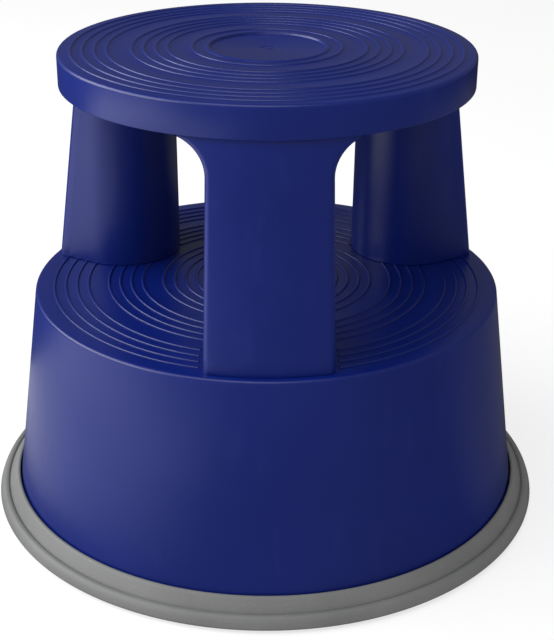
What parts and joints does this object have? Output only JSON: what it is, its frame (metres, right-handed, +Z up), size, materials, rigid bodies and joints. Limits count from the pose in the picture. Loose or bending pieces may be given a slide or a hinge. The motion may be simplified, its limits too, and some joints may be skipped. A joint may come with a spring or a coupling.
{
  "type": "kick step stool",
  "caption": "Round kick step stool: tapered drum with a lower step, D-shaped legs under a round top step, rubber floor ring and sprung castors that retract when it is stood on.",
  "frame": {"origin": "on the floor under the centre of the stool, where the castor wheels stand", "axes": "+Z up; the front leg stands towards -Y; +X to the right as seen from the front"},
  "size_m": [0.4385, 0.4386, 0.362],
  "materials": {
    "blue_plastic": "satin moulded plastic",
    "grey_rubber": "matt grey rubber",
    "black_plastic": "matt moulded nylon",
    "black_rubber": "matt rubber",
    "zinc_steel": "bright zinc plate",
    "spring_steel": "drawn spring wire"
  },
  "bodies": {
    "stool": {"top_step": "blue_plastic", "base_body": "blue_plastic", "leg_front": "blue_plastic", "leg_rear_left": "blue_plastic", "leg_rear_right": "blue_plastic", "floor_ring": "grey_rubber", "leg_head_screws": "zinc_steel", "leg_foot_screws": "zinc_steel", "retainer_screws": "zinc_steel", "castor_rear_retainer": "black_plastic", "castor_rear_spring": "spring_steel", "castor_right_retainer": "black_plastic", "castor_right_spring": "spring_steel", "castor_left_retainer": "black_plastic", "castor_left_spring": "spring_steel"},
    "castor_rear_slider": {"castor_rear_plunger": "black_plastic"},
    "castor_rear_swivel": {"castor_rear_kingpin": "zinc_steel", "castor_rear_clip": "spring_steel", "castor_rear_washer": "zinc_steel", "castor_rear_fork": "zinc_steel", "castor_rear_axle": "zinc_steel"},
    "castor_rear_wheel": {"castor_rear_hub": "black_plastic", "castor_rear_tyre": "black_rubber"},
    "castor_right_slider": {"castor_right_plunger": "black_plastic"},
    "castor_right_swivel": {"castor_right_kingpin": "zinc_steel", "castor_right_clip": "spring_steel", "castor_right_washer": "zinc_steel", "castor_right_fork": "zinc_steel", "castor_right_axle": "zinc_steel"},
    "castor_right_wheel": {"castor_right_hub": "black_plastic", "castor_right_tyre": "black_rubber"},
    "castor_left_slider": {"castor_left_plunger": "black_plastic"},
    "castor_left_swivel": {"castor_left_kingpin": "zinc_steel", "castor_left_clip": "spring_steel", "castor_left_washer": "zinc_steel", "castor_left_fork": "zinc_steel", "castor_left_axle": "zinc_steel"},
    "castor_left_wheel": {"castor_left_hub": "black_plastic", "castor_left_tyre": "black_rubber"}
  },
  "joints": [
    {"name": "castor_rear_spring_travel", "type": "slide", "parent": "stool", "child": "castor_rear_slider", "axis": [0, 0, 1], "range_m": [0, 0.006], "stiffness_N_per_m": 2500, "springref_m": -0.024, "deforming": ["castor_rear_spring"]},
    {"name": "castor_rear_turn", "type": "hinge", "parent": "castor_rear_slider", "child": "castor_rear_swivel", "pos_m": [0, 0.15, 0.045], "axis": [0, 0, 1], "continuous": true},
    {"name": "castor_rear_roll", "type": "hinge", "parent": "castor_rear_swivel", "child": "castor_rear_wheel", "pos_m": [0, 0.16, 0.016], "axis": [1, 0, 0], "continuous": true},
    {"name": "castor_right_spring_travel", "type": "slide", "parent": "stool", "child": "castor_right_slider", "axis": [0, 0, 1], "range_m": [0, 0.006], "stiffness_N_per_m": 2500, "springref_m": -0.024, "deforming": ["castor_right_spring"]},
    {"name": "castor_right_turn", "type": "hinge", "parent": "castor_right_slider", "child": "castor_right_swivel", "pos_m": [0.1299, -0.075, 0.045], "axis": [0, 0, 1], "continuous": true},
    {"name": "castor_right_roll", "type": "hinge", "parent": "castor_right_swivel", "child": "castor_right_wheel", "pos_m": [0.1299, -0.065, 0.016], "axis": [1, 0, 0], "continuous": true},
    {"name": "castor_left_spring_travel", "type": "slide", "parent": "stool", "child": "castor_left_slider", "axis": [0, 0, 1], "range_m": [0, 0.006], "stiffness_N_per_m": 2500, "springref_m": -0.024, "deforming": ["castor_left_spring"]},
    {"name": "castor_left_turn", "type": "hinge", "parent": "castor_left_slider", "child": "castor_left_swivel", "pos_m": [-0.1299, -0.075, 0.045], "axis": [0, 0, 1], "continuous": true},
    {"name": "castor_left_roll", "type": "hinge", "parent": "castor_left_swivel", "child": "castor_left_wheel", "pos_m": [-0.1299, -0.065, 0.016], "axis": [1, 0, 0], "continuous": true}
  ]
}
